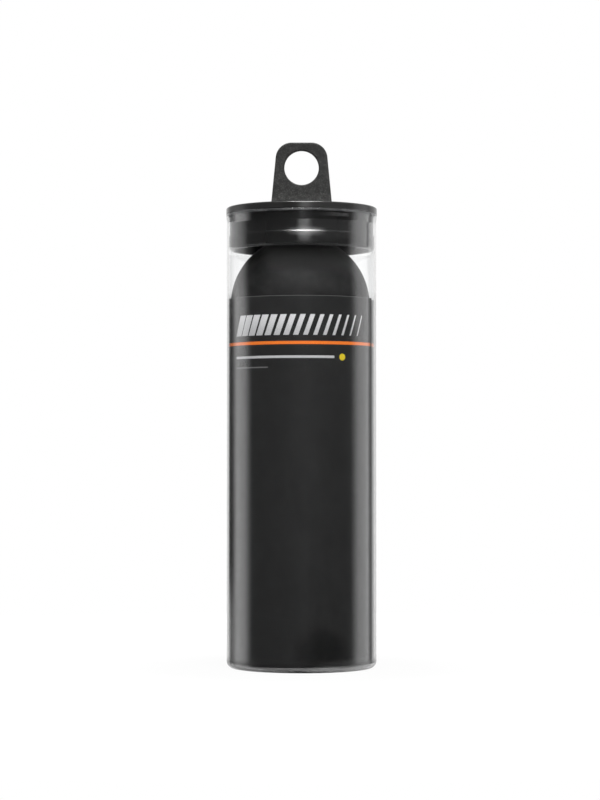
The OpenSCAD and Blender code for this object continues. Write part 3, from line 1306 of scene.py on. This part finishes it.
    def build(self) -> Thing:
        """Join plug, tab and root into one moulding and put it in its node's place.

        Returns:
            The piece.
        """
        blank = piece("cap_blank", self.plug_mesh())
        tools = [piece("tab_blank", self.tab_mesh()), piece("root_blank", self.root_mesh())]
        for tool in tools:
            joint = blank.modifiers.new(tool.name, "BOOLEAN")
            joint.operation, joint.solver, joint.object = "UNION", "EXACT", tool
        mesh = plain_copy(blank, "plug_cap")
        mesh.materials.clear()
        for tool in tools:
            bpy.data.objects.remove(tool)
        grained = MouldedBlack("grained_black", self.tab_colour, specular=self.tab_specular)
        thing = piece("plug_cap", mesh, MouldedBlack().mix(), grained.mix())
        finish_above(thing, self.tab_z + self.tab_start)
        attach(thing, "cap_body")
        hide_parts("cap")
        return thing


class BallPlace(Enum):
    """The three balls of the stack, with the body and the start of the node names of each."""

    TOP = "top_ball"
    MIDDLE = "middle_ball"
    BOTTOM = "bottom_ball"


@dataclass
class SquashBall:
    """Hollow rubber ball of two moulded halves, with the bonded seam between them."""

    place: BallPlace
    middle_x: float
    middle_z: float
    dot_turn: float
    radius: float = 20.0 * MM
    wall: float = 5.0 * MM
    bond_t: float = 0.1 * MM
    seam_depth: float = 0.15 * MM
    seam_w: float = 0.7 * MM
    segments: int = 128
    outer_rows: int = 46
    inner_rows: int = 18
    lip_ease: tuple[Point, Point] = ((0.12, 0.72), (0.45, 0.42))
    seat_steps: int = 4
    bead_steps: int = 8
    dot_climb: float = 38.0

    def half_profile(self, side: int) -> list[Point]:
        """Go round one half shell.

        Args:
            side: 1 for the upper half and -1 for the lower.

        Returns:
            Radius and height of points from the pole outside to the pole inside.
        """
        half_seam, inner_r = self.seam_w / 2, self.radius - self.wall
        rim = (self.radius - self.seam_depth, self.bond_t / 2)
        outer_low = math.degrees(math.asin(half_seam / self.radius))
        inner_low = math.degrees(math.asin(rim[1] / inner_r))
        outside = quarter_points((0, 0), self.radius, 90, outer_low, self.outer_rows)
        eased = [(self.radius - deep * self.seam_depth, up * half_seam) for deep, up in self.lip_ease]
        inside = quarter_points((0, 0), inner_r, inner_low, 90, self.inner_rows)
        points = [*outside, *eased, rim, *straight(rim, inside[0], self.seat_steps), *inside]
        return [(max(r, 0.0), self.middle_z + side * z) for r, z in points]

    def bond_profile(self) -> list[Point]:
        """Go round the section of the bonded ring, whose outer edge is a soft bead.

        Returns:
            Radius and height of each point.
        """
        outer, inner, half = self.radius - self.seam_depth, self.radius - self.wall, self.bond_t / 2
        bead = quarter_points((outer - half, self.middle_z), half, -90, 90, self.bead_steps)
        return [(inner, self.middle_z - half), *bead, (inner, self.middle_z + half)]

    def dot_place(self) -> Spot:
        """Find the middle of the ball's dot.

        Returns:
            The spot on the ball.
        """
        turn, climb = math.radians(self.dot_turn), math.radians(self.dot_climb)
        out = self.radius * math.cos(climb)
        return (self.middle_x + out * math.sin(turn), -out * math.cos(turn),
                self.middle_z + self.radius * math.sin(climb))

    def build(self) -> list[Thing]:
        """Make both halves and the bond and put them in their nodes' places.

        Returns:
            The pieces.
        """
        ball = self.place.value
        rubber = BallRubber(f"{ball}_rubber", self.dot_place()).mix()
        bond = CuredBond(f"{ball}_bond_cured").mix()
        made = []
        for start, node, profile, finish, slot in (
                ("rubber", f"{ball}_upper_shell", self.half_profile(1), rubber, "ball_rubber"),
                ("rubber", f"{ball}_lower_shell", self.half_profile(-1), rubber, "ball_rubber"),
                ("seam", f"{ball}_bond", self.bond_profile(), bond, "bond_rubber")):
            mesh = turned_mesh(node, profile, self.segments, (self.middle_x, 0.0), closed=start == "seam")
            thing = piece(f"{start}_{node}", mesh, finish)
            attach(thing, ball)
            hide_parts(node)
            made.append(thing)
        return made


@dataclass(frozen=True)
class GlowBand:
    """Light that glossy faces mirror, by its turn from the front and its climb in degrees.

    Attributes:
        rise: turns between which it comes up, going to the right.
        fall: turns between which it goes down again.
        level: how bright it is; 1 is as bright as the backdrop.
        foot: climbs between which it comes up, or None where it has no foot.
        top: climbs between which it goes down again, or None where it has no top.
        thins: two climbs, and its share of light at each.
        lean: two climbs, and how far it leans to the left at each.
    """

    rise: Point
    fall: Point
    level: float
    foot: Point | None = None
    top: Point | None = None
    thins: Ramp | None = None
    lean: Ramp | None = None

    def paint(self, bench: NodeBench, turn: Socket, climb: Socket) -> Socket:
        """Work out the band's light.

        Args:
            bench: the tree that it is worked out in.
            turn: direction from the front in degrees, more towards the right.
            climb: direction above the level in degrees.

        Returns:
            A socket of 0 to the band's level.
        """
        if self.lean:
            turn = bench.plus(turn, bench.fade(climb, *self.lean))
        light = bench.times(bench.fade(turn, *self.rise), bench.fade(turn, *self.fall, self.level, 0.0))
        if self.foot:
            light = bench.times(light, bench.fade(climb, *self.foot))
        if self.top:
            light = bench.times(light, bench.fade(climb, *self.top, 1.0, 0.0))
        if self.thins:
            light = bench.times(light, bench.fade(climb, *self.thins))
        return light


@dataclass(frozen=True)
class MirroredAir:
    """What a glossy face mirrors: bands of light in a dim room, with the backdrop behind."""

    sides_top: Point = (50, 65)
    left_glow: GlowBand = GlowBand((-140, -112), (-102, -80), 1.3, None, sides_top, (3.5, 5.2, 1.0, 0.45),
                                   (1.5, 6.5, 0.0, 10.0))
    right_glow: GlowBand = GlowBand((79, 101), (123, 130), 1.13, None, sides_top, lean=(4.0, 5.0, 0.0, 6.0))
    right_edge_glow: GlowBand = GlowBand((126, 150), (152, 166), 0.82, None, sides_top)
    high_foot: Point = (4.75, 4.95)
    high_left_glow: GlowBand = GlowBand((-160, -142), (-138, -112), 0.5, high_foot, sides_top)
    high_right_glow: GlowBand = GlowBand((122, 130), (178, 181), 0.9, high_foot, sides_top)
    front_foot: Point = (5.12, 5.27)
    front_glow: GlowBand = GlowBand((-9, 3), (7, 18), 0.14, front_foot, None, (5.46, 5.62, 1.0, 0.5))
    front_haze: GlowBand = GlowBand((6, 16), (70, 88), 0.26, front_foot)
    spark: GlowBand = GlowBand((-28, 7), (8, 42), 5.5, (5.27, 5.4), (5.42, 5.5))
    veil: GlowBand = GlowBand((-75, -40), (100, 120), 0.5, (4.27, 4.6), (4.64, 5.2))
    crown_climb: tuple[Point, Point] = ((5.86, 6.0), (80, 90))
    crown_glow: GlowBand = GlowBand((-7, 2), (8, 17), 3.6, *crown_climb)
    crown_haze: GlowBand = GlowBand((6, 16), (70, 88), 0.42, *crown_climb)
    crown_left_haze: GlowBand = GlowBand((-125, -95), (-35, -20), 0.4, *crown_climb)
    neck_haze: GlowBand = GlowBand((-75, -40), (100, 120), 0.13, (3.82, 3.95), (4.22, 4.5))
    hem_climb: tuple[Point, Point] = ((4.78, 4.84), (4.99, 5.03))
    hem_left_glow: GlowBand = GlowBand((-175, -150), (-112, -72), 1.1, *hem_climb)
    hem_right_glow: GlowBand = GlowBand((66, 100), (124, 142), 1.7, *hem_climb)
    foot_top: Point = (-12.0, -7.0)
    foot_left_glow: GlowBand = GlowBand((-172, -155), (-105, -70), 1.1, None, foot_top)
    foot_right_glow: GlowBand = GlowBand((5, 50), (140, 165), 1.9, None, foot_top)
    low_right_glow: GlowBand = GlowBand((10, 60), (90, 145), 0.9, (-9.0, -5.4), (-5.4, -4.75))
    low_right_lift: Ramp = (30, 100, 0.0, 0.17)
    inner_strip: GlowBand = GlowBand((-10, 2), (7, 18), 2.3, (5.1, 5.3), (9, 10))
    low_card: GlowBand = GlowBand((-155, -144), (-140, -118), 0.9, (-4.0, -2.3), (3.75, 3.95))
    table_white: Ramp = (-45, -25, 1.0, 0.0)
    dim: float = 0.012
    back_reach: Point = (0.72, 0.9)
    inner_reach: Point = (0.1, 0.6)
    inner_white: Ramp = (3.7, 4.0, 0.42, 0.85)

    def paint(self, bench: NodeBench) -> Socket:
        """Work out the light from each direction.

        Args:
            bench: the world's tree.

        Returns:
            The light's socket.
        """
        x, y, z = bench.split(bench.add("ShaderNodeTexCoord").outputs["Generated"])
        turn = bench.calc("DEGREES", bench.calc("ARCTAN2", x, bench.times(y, -1.0)))
        climb = bench.calc("DEGREES", bench.calc("ARCSINE", z))
        sides, high, front = (
            bench.plus(*(band.paint(bench, turn, climb) for band in bands)) for bands in (
                (self.left_glow, self.right_glow, self.right_edge_glow),
                (self.high_left_glow, self.high_right_glow),
                (self.front_glow, self.front_haze, self.spark, self.veil, self.crown_glow, self.crown_haze,
                 self.crown_left_haze, self.neck_haze, self.hem_left_glow, self.hem_right_glow,
                 self.foot_left_glow, self.foot_right_glow)))
        lifted = bench.calc("SUBTRACT", climb, bench.fade(turn, *self.low_right_lift))
        front = bench.plus(front, self.low_right_glow.paint(bench, turn, lifted))
        sides = bench.calc("MAXIMUM", sides, high)
        outside = bench.calc("MAXIMUM", bench.plus(sides, front),
                             bench.fade(y, *self.back_reach, self.dim, 1.0))
        inside = bench.calc("MAXIMUM", bench.plus(sides, self.inner_strip.paint(bench, turn, climb)),
                            bench.fade(climb, *self.table_white))
        inside = bench.calc("MAXIMUM", inside, bench.fade(y, *self.inner_reach, self.dim,
                                                          bench.fade(climb, *self.inner_white)))
        walls_passed = bench.add("ShaderNodeLightPath").outputs["Transmission Depth"]
        came_through = bench.calc("GREATER_THAN", walls_passed, 0.5)
        light = bench.calc("MULTIPLY_ADD", came_through, bench.calc("SUBTRACT", inside, outside), outside)
        return bench.times(light, bench.calc("SUBTRACT", 1.0, self.low_card.paint(bench, turn, climb)))


class Ray(Enum):
    """Kinds of ray that a thing in the studio can be hidden from."""

    CAMERA = "visible_camera"
    GLOSSY = "visible_glossy"
    DIFFUSE = "visible_diffuse"
    TRANSMISSION = "visible_transmission"


def hide(thing: Thing, *rays: Ray) -> None:
    """Hide a thing from those rays."""
    for ray in rays:
        setattr(thing, ray.value, False)


@dataclass(frozen=True)
class SoftLamp:
    """Soft rectangular lamp; a radiance of 1 is as bright as the backdrop."""

    name: str
    place: Spot
    aim: Spot
    width: float
    height: float
    radiance: float
    hidden_from: tuple[Ray, ...]

    def hang(self) -> None:
        """Hang the lamp in the studio."""
        data = bpy.data.lights.new(self.name, "AREA")
        data.shape, data.size, data.size_y = "RECTANGLE", self.width, self.height
        data.energy = self.radiance * math.pi * self.width * self.height
        lamp = bpy.data.objects.new(self.name, data)
        lamp.location = self.place
        lamp.rotation_euler = (Vector(self.aim) - Vector(self.place)).to_track_quat("-Z", "Y").to_euler()
        hide(lamp, Ray.CAMERA, *self.hidden_from)
        bpy.context.scene.collection.objects.link(lamp)


@dataclass
class Studio:
    """Camera, floor, lamps and surroundings of the picture."""

    distance: float = 700.0 * MM
    camera_x: float = -0.45 * MM
    camera_z: float = 59.5 * MM
    camera_pitch: float = math.radians(1.414)
    lens: float = 109.49
    sensor: float = 36.0
    clip: Point = (0.01, 100)
    floor_r: float = 0.25
    floor_drop: float = 0.02 * MM
    floor_corners: int = 96
    lamps: tuple[SoftLamp, ...] = (
        SoftLamp("overhead", (0.03, -0.16, 0.95), (0, -0.01, 0.12), 0.24, 0.62, 20.0, (Ray.GLOSSY,)),
        SoftLamp("overhead_core", (0.035, -0.28, 0.93), (0, -0.01, 0.12), 0.5, 0.18, 41.0, (Ray.DIFFUSE,)),
        SoftLamp("fill", (0.1, -1.5, 0.7), (0, 0, 0.07), 1.6, 1.2, 1.4, (Ray.GLOSSY, Ray.TRANSMISSION)),
    )
    air_light: float = 0.6
    air: MirroredAir = MirroredAir()

    def place_camera(self) -> None:
        """Set the camera where the photograph was taken from."""
        data = bpy.data.cameras.new("studio_camera")
        data.lens, data.sensor_width, data.sensor_fit = self.lens, self.sensor, "AUTO"
        data.clip_start, data.clip_end = self.clip
        camera = bpy.data.objects.new("studio_camera", data)
        camera.location = (self.camera_x, -self.distance, self.camera_z)
        camera.rotation_euler = (math.pi / 2 + self.camera_pitch, 0, 0)
        bpy.context.scene.collection.objects.link(camera)
        bpy.context.scene.camera = camera
        bpy.context.scene.view_settings.view_transform = "Standard"

    def lay_floor(self) -> None:
        """Lay the round pale floor that the tube stands on."""
        turns = [WHOLE_TURN * i / self.floor_corners for i in range(self.floor_corners)]
        rim = [(self.floor_r * math.sin(a), -self.floor_r * math.cos(a), -self.floor_drop) for a in turns]
        mesh = bpy.data.meshes.new("studio_floor")
        mesh.from_pydata(rim, [], [tuple(range(self.floor_corners))])
        floor = piece("studio_floor", mesh, StudioFloor().mix())
        hide(floor, Ray.GLOSSY, Ray.TRANSMISSION)

    def paint_air(self) -> None:
        """Surroundings: white where they are seen, bands of light in a gloss, and else a plain fill."""
        world = bpy.data.worlds.new("studio_air")
        world.use_nodes = True
        bpy.context.scene.world = world
        bench = NodeBench(world.node_tree)
        glossy = bench.add("ShaderNodeLightPath").outputs["Is Glossy Ray"]
        extra = bench.calc("SUBTRACT", self.air.paint(bench), self.air_light)
        level = bench.calc("MULTIPLY_ADD", glossy, extra, self.air_light)
        whitening = bench.calc("SUBTRACT", 1.0, level)
        level = bench.calc("MULTIPLY_ADD", bench.seen_as_backdrop(), whitening, level)
        air = bench.make("ShaderNodeBackground", Color=WHITE, Strength=level)
        bench.feed(bench.add("ShaderNodeOutputWorld").inputs["Surface"], air)

    def build(self) -> None:
        """Lay the floor, hang the lamps and paint the surroundings."""
        self.lay_floor()
        for lamp in self.lamps:
            lamp.hang()
        self.paint_air()


def main() -> None:
    """Build the studio, then the tube, label, cap and balls, and report each piece."""
    logging.basicConfig(level=logging.INFO, format="%(name)s %(message)s")
    studio = Studio()
    studio.place_camera()
    studio.build()
    made = [ClearTube().build(), RolledLabel().build(), PlugCap().build()]
    stack = (
        SquashBall(BallPlace.TOP, middle_x=-0.4 * MM, middle_z=104.0 * MM, dot_turn=158),
        SquashBall(BallPlace.MIDDLE, middle_x=0.2 * MM, middle_z=63.8 * MM, dot_turn=40),
        SquashBall(BallPlace.BOTTOM, middle_x=-0.4 * MM, middle_z=23.6 * MM, dot_turn=255),
    )
    for ball in stack:
        made.extend(ball.build())
    for thing in made:
        report(thing)


if __name__ == "__main__":
    main()
